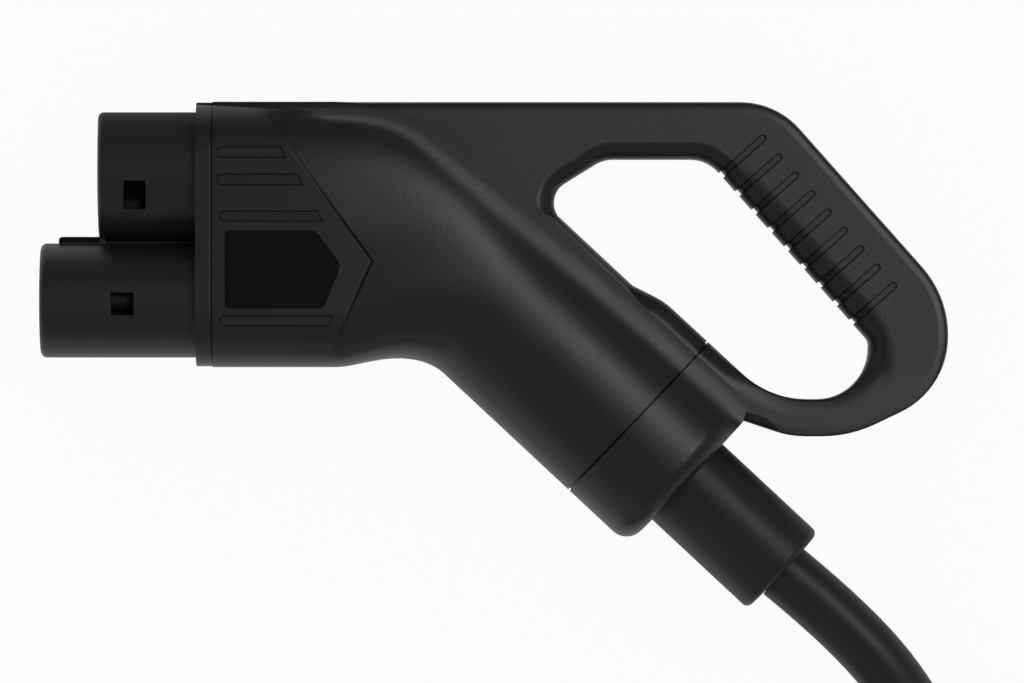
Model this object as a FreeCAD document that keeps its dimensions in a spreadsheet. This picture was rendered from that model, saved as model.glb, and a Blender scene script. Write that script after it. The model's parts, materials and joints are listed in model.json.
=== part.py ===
"""Combined power and signal charging connector with its cable, lying on its right side.

X runs from the mating face to the rear, Y from the trigger side up to the handle and Z from the right
shell to the left one. The origin is the centre of the round signal face, on the collar's front plane and
the shells' parting plane.
"""
import FreeCAD, Part
import Sketcher
import math
import os
import re

V = FreeCAD.Vector
doc = FreeCAD.newDocument("charging_connector")

# Driving dimensions, in millimetres and degrees
SIZES = {
    "housing": {
        "wall": 3.0,
        "fit_gap": 0.2,
        "groove_depth": 1.0,
        "body_top": 29.2,
        "body_bottom": -84.7,
        "body_half_width": 37.2,
        "panel_half_width": 38.0,
        "panel_corner": 23.0,
        "tube_half_width": 36.5,
        "tube_half_height": 41.5,
        "front_squareness": 4.2,
        "rear_squareness": 2.15,
        "straight_end": 59.4,
        "bend_radius": 110.0,
        "bend_angle": 43.0,
        "rear_length": 107.7,
        "rear_round": 8.6,
        "seam_distance": 72.7,
        "seam_width": 1.0,
        "boss_radius": 4.5,
        "screw_radius": 1.5,
        "screw_head_radius": 3.0,
        "screw_head_height": 2.4,
        "screw_reach": 8.0,
    },
    "loop": {
        "loop_half_width": 16.0,
        "loop_outer_round": 5.0,
        "loop_inner_round": 8.0,
        "loop_top": 29.0,
        "loop_rear": 322.3,
        "loop_bottom": -114.4,
        "grip_corner": 248.4,
        "grip_slope": 48.4,
        "grip_width": 38.2,
        "window_top": 4.5,
        "window_rear": 288.3,
        "window_bottom": -98.5,
        "rib_count": 9,
        "rib_pitch": 10.55,
        "rib_width": 2.8,
        "rib_length": 24.0,
        "rib_depth": 1.2,
    },
    "face": {
        "collar_length": 6.9,
        "collar_inset": 0.4,
        "signal_radius": 31.5,
        "signal_flat": 24.5,
        "signal_length": 42.1,
        "power_height": 49.0,
        "power_width": 65.0,
        "power_drop": 56.1,
        "power_length": 66.9,
        "shroud_wall": 3.0,
        "face_round": 2.7,
        "flange_thickness": 4.0,
        "gasket_thickness": 2.0,
        "web_width": 12.0,
        "ledge_width": 26.0,
        "ledge_length": 17.0,
        "ledge_height": 2.8,
    },
    "contacts": {
        "power_pitch": 27.3,
        "power_pin": 8.0,
        "earth_pin": 6.0,
        "pilot_pin": 3.0,
        "tower_wall": 3.2,
        "sleeve_wall": 2.0,
        "tower_recess": 4.0,
        "carrier_base": 8.0,
        "retainer_thickness": 4.0,
        "barrel_length": 16.0,
    },
    "cable": {
        "cable_diameter": 26.0,
        "sleeve_diameter": 44.4,
        "sleeve_offset": 4.2,
        "sleeve_length": 56.3,
        "sleeve_round": 3.0,
        "clamp_gap": 0.7,
        "clamp_length": 24.0,
        "inner_reach": 7.0,
        "sleeve_flange": 6.0,
        "seal_length": 12.0,
        "coil_radius": 198.0,
        "coil_pitch": 27.0,
        "coil_turns": 2.9,
        "coil_entry_angle": 6.0,
        "coil_stub": 105.0,
        "upper_turn_radius": 140.0,
        "boot_length": 40.0,
        "tail_run": 52.0,
        "tail_turn": 20.0,
    },
    "cores": {
        "power_core": 9.0,
        "earth_core": 6.0,
        "signal_core": 3.0,
        "core_free": 30.0,
        "lug_length": 44.0,
        "lug_hole": 8.4,
        "lug_spread": 20.4,
        "earth_lug_hole": 6.4,
    },
}


def write_sheet():
    """Put every driving dimension in the sheet, each in a cell with an alias."""
    sheet = doc.addObject("Spreadsheet::Sheet", "sizes")
    row = 1
    for group, cells in SIZES.items():
        sheet.set(f"A{row}", group)
        row += 1
        for name, value in cells.items():
            sheet.set(f"A{row}", name)
            sheet.set(f"B{row}", str(value))
            sheet.setAlias(f"B{row}", name)
            row += 1
    doc.recompute()
    return sheet


sheet = write_sheet()


def size(name):
    """A driving dimension, read back from the sheet."""
    return float(getattr(sheet, name))


# Shared places

CENTRE_Y = (size("body_top") + size("body_bottom")) / 2
BEND = math.radians(size("bend_angle"))
ALONG = V(math.cos(BEND), -math.sin(BEND), 0)
ACROSS = V(math.sin(BEND), math.cos(BEND), 0)
BEND_CENTRE = V(size("straight_end"), CENTRE_Y - size("bend_radius"), 0)
BEND_END = BEND_CENTRE + ACROSS * size("bend_radius")


def on_axis(distance, offset=0.0):
    """A point on the rear tube's axis, at a distance past the bend's end, moved across it by an offset."""
    return BEND_END + ALONG * distance + ACROSS * offset


# Outlines and sections

def rounded_outline(corners):
    """A closed wire through corners (x, y, radius), with an arc in place of each corner that has a radius."""
    count = len(corners)
    starts, ends, arcs = [], [], []
    for i, (x, y, radius) in enumerate(corners):
        corner = V(x, y, 0)
        before = (V(*corners[i - 1][:2], 0) - corner).normalize()
        after = (V(*corners[(i + 1) % count][:2], 0) - corner).normalize()
        if not radius:
            starts.append(corner)
            ends.append(corner)
            arcs.append(None)
            continue
        half = before.getAngle(after) / 2
        tangent = radius / math.tan(half)
        bisector = (before + after).normalize()
        middle = corner + bisector * (radius / math.sin(half) - radius)
        starts.append(corner + before * tangent)
        ends.append(corner + after * tangent)
        arcs.append(Part.Arc(starts[-1], middle, ends[-1]).toShape())
    edges = []
    for i in range(count):
        if arcs[i]:
            edges.append(arcs[i])
        edges.append(Part.LineSegment(ends[i], starts[(i + 1) % count]).toShape())
    return Part.Wire(edges)


def prism(wire, low, high):
    """The solid between two heights over a closed wire in the XY plane."""
    face = Part.Face(wire) if isinstance(wire, Part.Wire) else wire
    solid = face.extrude(V(0, 0, high - low))
    solid.translate(V(0, 0, low))
    return solid


def round_top(solid, height, radius, chosen=None):
    """Round the edges that lie wholly at a height, or those of them that a test picks."""
    edges = [
        edge
        for edge in solid.Edges
        if abs(edge.BoundBox.ZMin - height) < 1e-4
        and abs(edge.BoundBox.ZMax - height) < 1e-4
        and (chosen is None or chosen(edge))
    ]
    return solid.makeFillet(radius, edges)


def section(centre, across, half_height, half_width, squareness):
    """A smooth closed section, round at squareness 2 and boxy at 5, whose curve starts at a corner."""
    count = 32
    points = []
    for i in range(count):
        angle = 2 * math.pi * (i / count + 1 / 8)
        c, s = math.cos(angle), math.sin(angle)
        up = math.copysign(abs(c) ** (2 / squareness), c) * half_height
        side = math.copysign(abs(s) ** (2 / squareness), s) * half_width
        points.append(centre + across * up + V(0, 0, side))
    curve = Part.BSplineCurve()
    curve.interpolate(Points=points, PeriodicFlag=True)
    return Part.Wire(curve.toShape())


def smooth_step(share):
    return share * share * (3 - 2 * share)


def tube_body(inset=0.0, front=None, rear=None):
    """The pistol body without its loop: boxy at the collar, round at the rear and bent between."""
    front = size("collar_length") if front is None else front
    rear = size("rear_length") if rear is None else rear
    front_height = (size("body_top") - size("body_bottom")) / 2

    def ring(share):
        mix = smooth_step(share)
        turn = BEND * share
        across = V(math.sin(turn), math.cos(turn), 0)
        return section(
            BEND_CENTRE + across * size("bend_radius"),
            across,
            front_height + (size("tube_half_height") - front_height) * mix - inset,
            size("body_half_width") + (size("tube_half_width") - size("body_half_width")) * mix - inset,
            size("front_squareness") + (size("rear_squareness") - size("front_squareness")) * mix,
        )

    steps = 8
    rings = [ring(i / steps) for i in range(steps + 1)]
    straight = Part.Face(rings[0]).extrude(V(front - size("straight_end"), 0, 0))
    bend = Part.makeLoft(rings, True, False)
    tail = Part.Face(rings[-1]).extrude(ALONG * rear)
    return bend.fuse([straight, tail])


def body_end(inset=0.0):
    """The left half of the pistol body with its rear edge rounded."""
    solid = tube_body(inset, rear=size("rear_length") - inset)
    rear = [
        edge
        for edge in solid.Edges
        if abs((edge.CenterOfMass - BEND_END).dot(ALONG) - (size("rear_length") - inset)) < 0.01
    ]
    return upper_half(solid.makeFillet(size("rear_round") - inset, rear))


def grip_line_y(x, drop=0.0):
    """The height of the grip's outer edge at x, or of a line parallel to it and further in."""
    slope = math.radians(size("grip_slope"))
    return size("loop_top") - drop / math.cos(slope) - (x - size("grip_corner")) * math.tan(slope)


def grip_line_x(y, drop=0.0):
    slope = math.radians(size("grip_slope"))
    return size("grip_corner") + (size("loop_top") - drop / math.cos(slope) - y) / math.tan(slope)


def loop_corners():
    """The loop's outer edge, clockwise from its front end, which lies inside the body."""
    top, rear, bottom = size("loop_top"), size("loop_rear"), size("loop_bottom")
    return [
        (46.0, top, 0),
        (grip_line_x(top), top, 34.0),
        (rear, grip_line_y(rear), 44.0),
        (rear, bottom + 20.1, 36.0),
        (rear - 42.2, bottom, 53.0),
        (rear - 67.9, bottom, 40.0),
        (225.0, bottom + 9.8, 0),
        (200.0, bottom - 2.0, 0),
        (140.0, -70.0, 0),
        (46.0, CENTRE_Y, 0),
    ]


def window_corners():
    """The finger opening, clockwise from the upper front corner."""
    top, rear, bottom = size("window_top"), size("window_rear"), size("window_bottom")
    width = size("grip_width")
    return [
        (174.5, top, 14.0),
        (grip_line_x(top, width), top, 16.0),
        (rear, grip_line_y(rear, width), 5.0),
        (rear, bottom, 22.0),
        (246.0, bottom, 41.0),
        (200.5, -56.5, 30.0),
        (186.0, -49.2, 12.0),
        (146.8, -12.6, 10.0),
    ]


def loop_plate(inset=0.0):
    """The upper half of the flat loop, with its rounded edges."""
    outer = Part.Face(rounded_outline(loop_corners()))
    window = Part.Face(rounded_outline(window_corners()))
    if inset:
        outer = outer.makeOffset2D(-inset)
        window = window.makeOffset2D(inset)
    high = size("loop_half_width") - inset
    solid = prism(outer.cut(window), 0, high)
    rim = Part.Wire(window.OuterWire.Edges)
    rim.translate(V(0, 0, high))
    hidden = body_end(inset)

    def at_window(edge):
        return edge.distToShape(rim)[0] < 1e-3 and rim.distToShape(Part.Vertex(middle(edge)))[0] < 1e-3

    solid = round_top(solid, high, size("loop_inner_round") - inset, at_window)
    return round_top(
        solid,
        high,
        size("loop_outer_round") - inset,
        lambda edge: rim.distToShape(edge)[0] > 9 and not hidden.isInside(middle(edge), 1e-6, True),
    )


def middle(edge):
    return edge.valueAt((edge.FirstParameter + edge.LastParameter) / 2)


def upper_half(shape):
    """The part of a shape above the parting plane."""
    return shape.common(Part.makeBox(500, 400, 100, V(-60, -300, 0)))


def panel(inset=0.0):
    """The flat side panel behind the collar, with its chevron end."""
    front = size("collar_length")
    bar = panel_bar(inset, front, front + 90)
    chevron = rounded_outline(
        [
            (front, 30.0, 0),
            (26.0, 30.0, 0),
            (43.1, 6.2, 60.0),
            (75.5, -39.3, 4.0),
            (58.5, -76.5, 0),
            (55.0, -86.0, 0),
            (front, -86.0, 0),
        ]
    )
    return bar.common(prism(chevron, 0, 50))


def outer_half(inset=0.0):
    """The left half of the housing's outer form, drawn in by an inset."""
    return body_end(inset).fuse([loop_plate(inset), panel(inset)])


# Places of the housing screws, each with the height of the screw head's seat under the right shell

SCREW_PLACES = [
    (42.0, 22.0, 14.0),
    (42.0, -75.0, 14.0),
    (125.0, 17.0, 9.0),
    (212.0, 17.0, 9.0),
    (272.0, -26.0, 9.0),
    (262.0, -106.5, 9.0),
    (150.0, -104.0, 14.0),
]

# Recessed bars on the panel: upper edge, lower edge, front end, rear end above and below

PANEL_BARS = [
    (9.4, 4.7, 9.2, 36.6, 38.7),
    (-2.3, -6.9, 9.2, 43.9, 46.0),
    (-18.1, -22.4, 10.4, 52.2, 54.5),
    (-62.8, -66.9, 10.4, 58.7, 56.4),
]


def label_outline(gap=0.0):
    """The five-sided field on the left panel."""
    wire = rounded_outline(
        [
            (12.9, -26.4, 2.2),
            (51.2, -26.4, 2.2),
            (61.9, -41.1, 2.2),
            (54.7, -59.3, 2.2),
            (12.9, -59.3, 2.2),
        ]
    )
    return wire.makeOffset2D(-gap) if gap else wire


def bar_outline(top, bottom, front, rear_top, rear_bottom):
    radius = (top - bottom) / 2 * 0.98
    return rounded_outline(
        [(front, top, radius), (rear_top, top, 0.6), (rear_bottom, bottom, 0.6), (front, bottom, radius)]
    )


def rib_outline(index):
    """One groove across the grip, from inside the finger opening to its rounded outer end."""
    slope = math.radians(size("grip_slope"))
    along = V(math.cos(slope), -math.sin(slope), 0)
    outward = V(math.cos(math.pi / 2 - slope), math.sin(math.pi / 2 - slope), 0)
    start = V(243.6, 14.2, 0) + along * (size("rib_pitch") * index)
    half = size("rib_width") / 2
    tip, root = start, start - outward * (size("rib_length") + 6)
    corners = [root + along * half, tip + along * half, tip - along * half, root - along * half]
    radii = [0, half * 0.98, half * 0.98, 0]
    return rounded_outline([(c.x, c.y, r) for c, r in zip(corners, radii)])


def surface_cuts():
    """Everything that is sunk into both shells' outer skin, as one solid above the parting plane."""
    ribs = [prism(rib_outline(i), 0, 20) for i in range(int(size("rib_count")))]
    slab = Part.makeBox(size("seam_width"), 120, 60, V(size("seam_distance"), -68, 0))
    slab.rotate(V(), V(0, 0, 1), -size("bend_angle"))
    slab.translate(BEND_END)
    ribs_inner = loop_plate(size("rib_depth"))
    seam_inner = body_end(size("groove_depth")).fuse(loop_plate(size("groove_depth")))
    cuts = [rib.cut(ribs_inner) for rib in ribs] + [slab.cut(seam_inner)]
    low = size("panel_half_width") - size("groove_depth")
    cuts += [prism(bar_outline(*bar), low, low + 5) for bar in PANEL_BARS]
    return cuts


def rear_opening():
    """The hole that the cable sleeve passes through."""
    radius = size("sleeve_diameter") / 2 + size("fit_gap")
    return Part.makeCylinder(radius, 40, on_axis(size("rear_length") - 20, -size("sleeve_offset")), ALONG)


def plain_shell():
    """One half of the housing before its screw holes: outer form, cavity, bosses and sunk details."""
    outer = outer_half()
    wall = size("wall")
    front_room = tube_body(wall, front=size("collar_length") - 5, rear=60)
    room = body_end(wall).fuse([upper_half(front_room), loop_plate(wall)])
    solid = outer.cut(room)
    bosses = [
        Part.makeCylinder(size("boss_radius"), 60, V(x, y, 0)).common(outer) for x, y, seat in SCREW_PLACES
    ]
    for boss in bosses:
        solid = solid.fuse(boss)
    for cut in surface_cuts() + [rear_opening()]:
        solid = solid.cut(cut)
    return solid


# Document objects

def plane(body, role):
    return next(f for f in body.Origin.OriginFeatures if f.Role == role)


def new_body(label):
    body = doc.addObject("PartDesign::Body", label)
    body.Label = label
    return body


def new_sketch(body, name, role="XY_Plane"):
    sketch = body.newObject("Sketcher::SketchObject", name)
    sketch.AttachmentSupport = (plane(body, role), [""])
    sketch.MapMode = "FlatFace"
    return sketch


def draw_polygon(sketch, corners):
    """Closed lines through corners, each coordinate bound to an expression on the sheet."""
    places = [tuple(evaluate(c) for c in corner) for corner in corners]
    count = len(places)
    first = sketch.GeometryCount
    for i in range(count):
        start, end = V(*places[i], 0), V(*places[(i + 1) % count], 0)
        sketch.addGeometry(Part.LineSegment(start, end), False)
    for i in range(count):
        sketch.addConstraint(Sketcher.Constraint("Coincident", first + i, 2, first + (i + 1) % count, 1))
    for i, corner in enumerate(corners):
        for kind, text, value in zip(("DistanceX", "DistanceY"), corner, places[i]):
            index = sketch.addConstraint(Sketcher.Constraint(kind, -1, 1, first + i, 1, value))
            sketch.setExpression(f"Constraints[{index}]", bound(text))


NAMES = sorted((name for cells in SIZES.values() for name in cells), key=len, reverse=True)
WORD = re.compile(r"[a-z][a-z_]*")


def bound(text):
    """An expression for a property: each size's name becomes a reference to the sheet."""
    return WORD.sub(lambda m: f"sizes.{m.group()}" if m.group() in NAMES else m.group(), str(text))


def evaluate(text):
    return float(sheet.evalExpression(bound(text)))


PARTS = []


def keep(label, shape):
    """A sub-part whose shape comes from Part's own functions."""
    piece = doc.addObject("Part::Feature", label)
    piece.Label = label
    piece.Shape = shape
    PARTS.append(piece)
    return piece


def place(body, at, tilted):
    turn = FreeCAD.Rotation(V(0, 0, 1), -size("bend_angle") if tilted else 0)
    body.Placement = FreeCAD.Placement(at, turn)
    PARTS.append(body)
    return body


def turned(label, corners, at=V(), tilted=False, rounded=None):
    """A piece turned about its own X axis from (x, radius) expressions, with one edge rounded if named."""
    body = new_body(label)
    sketch = new_sketch(body, label + "_profile")
    draw_polygon(sketch, corners)
    turn = body.newObject("PartDesign::Revolution", label + "_turned")
    turn.Profile = sketch
    turn.ReferenceAxis = (sketch, ["H_Axis"])
    turn.Angle = 360
    if rounded:
        doc.recompute()
        x, radius, rounding = rounded
        edges = turn.Shape.Edges
        names = [
            f"Edge{i + 1}"
            for i, edge in enumerate(edges)
            if abs(edge.CenterOfMass.x - evaluate(x)) < 1e-3
            and abs(edge.Length - 2 * math.pi * evaluate(radius)) < 1e-2
        ]
        fillet = body.newObject("PartDesign::Fillet", label + "_rounded")
        fillet.Base = (turn, names)
        fillet.setExpression("Radius", bound(rounding))
    return place(body, at, tilted)


def padded(label, draw, length, role="YZ_Plane", at=V(), tilted=False):
    """A piece padded from a sketch on one of its own planes."""
    body = new_body(label)
    sketch = new_sketch(body, label + "_outline", role)
    draw(sketch)
    pad = body.newObject("PartDesign::Pad", label + "_pad")
    pad.Profile = sketch
    pad.setExpression("Length", bound(length))
    return place(body, at, tilted)


# Mating face and contacts

def body_slice(inset, front, rear):
    """A plate in the body's front section, drawn in by an inset."""
    half_height = (size("body_top") - size("body_bottom")) / 2 - inset
    half_width = size("body_half_width") - inset
    wire = section(V(front, CENTRE_Y, 0), V(0, 1, 0), half_height, half_width, size("front_squareness"))
    return Part.Face(wire).extrude(V(rear - front, 0, 0))


def panel_bar(inset, front, rear):
    """A bar in the flat panel's section, drawn in by an inset."""
    top, bottom, side = size("body_top") - 0.3, size("body_bottom") + 0.3, size("panel_half_width")
    corners = [(-side, top), (side, top), (side, bottom), (-side, bottom)]
    wire = rounded_outline([(x, y, size("panel_corner")) for x, y in corners])
    wire = wire.makeOffset2D(-inset) if inset else wire
    wire.rotate(V(), V(0, 1, 0), 90)
    wire.translate(V(front, 0, 0))
    return Part.Face(wire).extrude(V(rear - front, 0, 0))


def signal_form(inset, front, rear):
    """The round upper form with its flat top, between two places along X."""
    radius, flat = size("signal_radius") - inset, size("signal_flat") - inset
    bar = Part.makeCylinder(radius, rear - front, V(front, 0, 0), V(1, 0, 0))
    cap = Part.makeBox(rear - front, 2 * radius, 4 * radius, V(front, flat - 2 * radius, -2 * radius))
    bar = bar.common(cap)
    corners = [
        e
        for e in bar.Edges
        if abs(e.BoundBox.XLength - (rear - front)) < 1e-3 and abs(e.CenterOfMass.y - flat) < 1e-3
    ]
    return bar.makeFillet(3.0, corners)


def power_form(inset, front, rear):
    """The wide lower form, between two places along X."""
    high, wide = size("power_height") / 2 - inset, size("power_width") / 2 - inset
    radius = high * 0.96
    corners = [(-wide, high), (wide, high), (wide, -high), (-wide, -high)]
    wire = rounded_outline([(x, y, radius) for x, y in corners])
    wire.rotate(V(), V(0, 1, 0), 90)
    wire.translate(V(front, -size("power_drop"), 0))
    return Part.Face(wire).extrude(V(rear - front, 0, 0))


def round_front(solid, front, radius):
    return solid.makeFillet(radius, [e for e in solid.Edges if abs(e.BoundBox.XMax - front) < 1e-4])


# Places along X behind the collar

FLANGE_FRONT = size("collar_length") + size("gasket_thickness")
FLANGE_REAR = FLANGE_FRONT + size("flange_thickness")

# Windows in the left side walls of the shrouds: front, rear, lower edge, upper edge

SHROUD_WINDOWS = [(-30.8, -21.5, -17.1, -4.9), (-36.2, -26.4, -62.4, -52.7)]


def nose_shell():
    """Both shrouds with their flange, moulded in one."""
    wall, rounding = size("shroud_wall"), size("face_round")
    signal_front, power_front = -size("signal_length"), -size("power_length")
    signal = round_front(signal_form(0, signal_front, FLANGE_REAR), signal_front, rounding)
    power = round_front(power_form(0, power_front, FLANGE_REAR), power_front, rounding)
    top = size("power_height") / 2 - size("power_drop")
    width = size("ledge_width")
    web_length, rib_length = FLANGE_REAR - signal_front - 2, size("ledge_length")
    web = Part.makeBox(web_length, 5, size("web_width"), V(signal_front + 2, top - 2, -size("web_width") / 2))
    rib_top = top + size("ledge_height")
    rib_corner = V(signal_front - rib_length, top - 2, -width / 2)
    rib = Part.makeBox(rib_length + 3, rib_top - top + 2, width, rib_corner)
    rib = rib.makeFillet(1.5, [e for e in rib.Edges if e.BoundBox.YMin > rib_top - 0.01])
    flange = body_slice(size("wall") + size("fit_gap"), FLANGE_FRONT, FLANGE_REAR)
    solid = signal.fuse([power, web, rib, flange])
    solid = solid.cut(signal_form(wall, signal_front - 1, FLANGE_REAR + 1))
    solid = solid.cut(power_form(wall, power_front - 1, FLANGE_REAR + 1))
    for front, rear, low, high in SHROUD_WINDOWS:
        solid = solid.cut(Part.makeBox(rear - front, high - low, 50, V(front, low, 0)))
    return drill(solid)


def nose_room(front, rear):
    """The space that the shrouds take where they pass through the collar and the seal."""
    gap = -size("fit_gap")
    top = size("power_height") / 2 - size("power_drop")
    width = size("web_width") + 2 * size("fit_gap")
    web = Part.makeBox(rear - front, 6, width, V(front, top - 2, -width / 2))
    return signal_form(gap, front, rear).fuse([power_form(gap, front, rear), web])


def front_collar():
    """The ring between the shrouds and the body, just inside the body's outline."""
    inset, length = size("collar_inset"), size("collar_length")
    return body_slice(inset, 0, length).fuse(panel_bar(inset, 0, length)).cut(nose_room(-1, length + 1))


def face_gasket():
    """The seal between the collar and the flange."""
    plate = body_slice(size("wall") + size("fit_gap"), size("collar_length"), FLANGE_FRONT)
    return plate.cut(nose_room(size("collar_length") - 1, FLANGE_FRONT + 1))


# Contacts' places across the face (y, z)

POWER_PLACES = [(-size("power_drop"), side * size("power_pitch") / 2) for side in (1, -1)]
EARTH_PLACE = (0.0, 0.0)
PILOT_PLACES = [(13.6, 8.1), (13.6, -8.1)]
EMPTY_PLACES = [(0.0, 17.8), (0.0, -17.8), (-15.4, 8.9), (-15.4, -8.9)]


def bar_at(radius, front, rear, spot):
    return Part.makeCylinder(radius, rear - front, V(front, *spot), V(1, 0, 0))


def carrier(form, face, wall, spots):
    """An insulating block: a base that fills a shroud, and a tower for each contact."""
    front = -face + size("tower_recess")
    solid = form(size("shroud_wall") + size("fit_gap"), FLANGE_REAR - size("carrier_base") - 6.9, FLANGE_REAR)
    for pin, spot in spots:
        outer = pin / 2 + size("sleeve_wall") + wall
        solid = solid.fuse(bar_at(outer, front, FLANGE_REAR - 1, spot))
    return solid, front


def bore_tower(solid, front, pin, spot):
    """Open a tower: a pin's way in at the front and the contact's seat behind it."""
    bore = pin / 2 + size("sleeve_wall") + size("fit_gap")
    solid = solid.cut(bar_at(pin / 2 + 0.6, front - 1, front + 3, spot))
    return solid.cut(bar_at(bore, front + 2, FLANGE_REAR + 1, spot))


def signal_carrier():
    """The upper block: five power towers, of which only the middle one is fitted, and two small ones."""
    earth, pilot = size("earth_pin"), size("pilot_pin")
    fitted = [(earth, EARTH_PLACE)] + [(pilot, spot) for spot in PILOT_PLACES]
    solid, front = carrier(
        signal_form, size("signal_length"), 2.0, fitted + [(earth, spot) for spot in EMPTY_PLACES]
    )
    for pin, spot in fitted:
        solid = bore_tower(solid, front, pin, spot)
    for spot in EMPTY_PLACES:
        solid = solid.cut(bar_at(earth / 2 + 0.6, front - 1, front + 12, spot))
    return drill(solid)


def power_carrier():
    """The lower block with its two large towers."""
    pin = size("power_pin")
    solid, front = carrier(
        power_form, size("power_length"), size("tower_wall"), [(pin, spot) for spot in POWER_PLACES]
    )
    for spot in POWER_PLACES:
        solid = bore_tower(solid, front, pin, spot)
    return drill(solid)


def drill(solid):
    """Open the retainer screws' holes in a moulding."""
    for spot in RETAINER_SCREWS:
        solid = solid.cut(bar_at(size("screw_radius") + 0.1, FLANGE_REAR - 4, FLANGE_REAR + 1, spot))
    return solid


def contact(label, face, pin, spot):
    """A turned socket: a bored sleeve in its tower, a collar behind it and a crimp barrel."""
    length = f"({face} - tower_recess - 2)"
    rear = "(collar_length + gasket_thickness + flange_thickness)"
    inner, outer = f"({pin} / 2)", f"({pin} / 2 + sleeve_wall)"
    barrel_end = f"({rear} + retainer_thickness + barrel_length)"
    depth = f"(-{length} + 30)"
    return turned(
        label,
        [
            (f"-{length}", inner),
            (f"-{length}", f"{outer} - 0.6"),
            (f"-{length} + 0.6", outer),
            (rear, outer),
            (barrel_end, outer),
            (barrel_end, f"{outer} - 1.2"),
            (f"{barrel_end} - 12", f"{outer} - 1.2"),
            (f"{barrel_end} - 12", "0"),
            (f"{depth} + 2", "0"),
            (depth, inner),
        ],
        V(0, *spot),
    )


def retainer():
    """The plate behind the flange that holds the carriers and lets the barrels through."""
    solid = body_slice(size("wall") + 6, FLANGE_REAR, FLANGE_REAR + size("retainer_thickness"))
    spots = [(size("power_pin"), spot) for spot in POWER_PLACES] + [(size("earth_pin"), EARTH_PLACE)]
    spots += [(size("pilot_pin"), spot) for spot in PILOT_PLACES]
    for pin, spot in spots:
        radius = pin / 2 + size("sleeve_wall") + size("fit_gap")
        solid = solid.cut(bar_at(radius, FLANGE_REAR - 1, FLANGE_REAR + 6, spot))
    for spot in RETAINER_SCREWS:
        solid = solid.cut(bar_at(1.6, FLANGE_REAR - 1, FLANGE_REAR + 6, spot))
    return solid


# Screws that hold the retainer to the flange (y, z)

RETAINER_SCREWS = [(-2.0, 25.0), (-2.0, -25.0), (-33.5, 25.0), (-33.5, -25.0), (-size("power_drop"), 0.0)]


def screw_body(label, head_radius, head_height, radius, reach, at, turn):
    """A pan-head screw along its own X axis, with a recess in its head, as one PartDesign body."""
    body = new_body(label)
    sketch = new_sketch(body, label + "_profile")
    draw_polygon(
        sketch,
        [
            (f"-{head_height}", "0"),
            (f"-{head_height}", f"{head_radius} - 0.5"),
            (f"-{head_height} + 0.5", head_radius),
            ("0", head_radius),
            ("0", radius),
            (f"{reach} - 1", radius),
            (reach, "0"),
        ],
    )
    spin = body.newObject("PartDesign::Revolution", label + "_turned")
    spin.Profile = sketch
    spin.ReferenceAxis = (sketch, ["H_Axis"])
    spin.Angle = 360
    body.Placement = FreeCAD.Placement(at, turn)
    return body


def screw_group(label, first, spots):
    """Like screws in one node: copies of one screw at several places."""
    doc.recompute()
    base = first.Shape
    copies = []
    for at in spots:
        copy = base.copy()
        copy.Placement = FreeCAD.Placement(at, first.Placement.Rotation)
        copies.append(copy)
    return keep(label, Part.makeCompound(copies))


def right_shell(shell):
    """The mirrored half, with a clearance hole and a head seat for each screw."""
    solid = shell.mirror(V(), V(0, 0, 1))
    for x, y, seat in SCREW_PLACES:
        shank = Part.makeCylinder(size("screw_radius") + size("fit_gap"), 60, V(x, y, -59))
        head = Part.makeCylinder(size("screw_head_radius") + size("fit_gap"), 60, V(x, y, -60 - seat))
        solid = solid.cut(shank).cut(head)
    return solid


def left_shell(shell):
    """The half that carries the label plate, with a blind hole for each screw."""
    low = size("panel_half_width") - size("groove_depth")
    solid = shell.cut(prism(label_outline(), low, low + 5))
    for x, y, seat in SCREW_PLACES:
        reach = size("screw_reach") + size("fit_gap")
        hole = Part.makeCylinder(size("screw_radius"), reach + 1, V(x, y, -1))
        solid = solid.cut(hole)
    return solid


# Cable and its cores

def smooth_tube(points, diameter, label):
    """A round tube along straight runs joined by tangent arcs, each as large as its runs allow."""
    points = [V(*p) for p in points]
    edges, here, radii = [], points[0], []
    for i in range(1, len(points) - 1):
        before, after = points[i - 1] - points[i], points[i + 1] - points[i]
        half = before.getAngle(after) / 2
        tangent = 0.45 * min(before.Length, after.Length)
        radius = tangent * math.tan(half)
        radii.append(radius)
        before.normalize()
        after.normalize()
        start, end = points[i] + before * tangent, points[i] + after * tangent
        bisector = (before + after).normalize()
        peak = points[i] + bisector * (radius / math.sin(half) - radius)
        edges += [Part.LineSegment(here, start).toShape(), Part.Arc(start, peak, end).toShape()]
        here = end
    edges.append(Part.LineSegment(here, points[-1]).toShape())
    path = Part.Wire(edges)
    ring = Part.Wire(Part.Circle(points[0], points[1] - points[0], diameter / 2).toShape())
    tube = path.makePipeShell([ring], True, False)
    expected = math.pi * diameter**2 / 4 * path.Length
    print(f"{label}: length {path.Length:.1f}, smallest radius {min(radii, default=0):.0f}, radii",
          [round(r) for r in radii], f"volume {tube.Volume / expected:.4f} of section x length")
    if abs(tube.Volume / expected - 1) > 0.01:
        raise ValueError(f"{label}: the tube's volume doesn't match its length")
    return tube


# Places on the rear tube's axis, from the rear wall forwards

REAR_WALL = size("rear_length") - size("wall")
SEAL_FRONT = REAR_WALL - size("sleeve_flange") - size("seal_length")
CLAMP_FRONT = SEAL_FRONT - size("clamp_gap") - size("clamp_length")
INNER_FRONT = CLAMP_FRONT - size("inner_reach")

CABLE = size("cable_diameter")
FLOOR = -size("panel_half_width")
LOW = FLOOR + CABLE / 2
EXIT = on_axis(size("rear_length") + size("sleeve_length"), -size("sleeve_offset"))

# Route of the lead from the sleeve: heading below the X axis in degrees, run and height at its end

LEAD_RUNS = [(43.0, 40.0, 0.0), (52.0, 42.0, -7.0), (63.0, 42.0, -18.0), (74.0, 42.0, LOW), (84.0, 40.0, LOW)]


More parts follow.
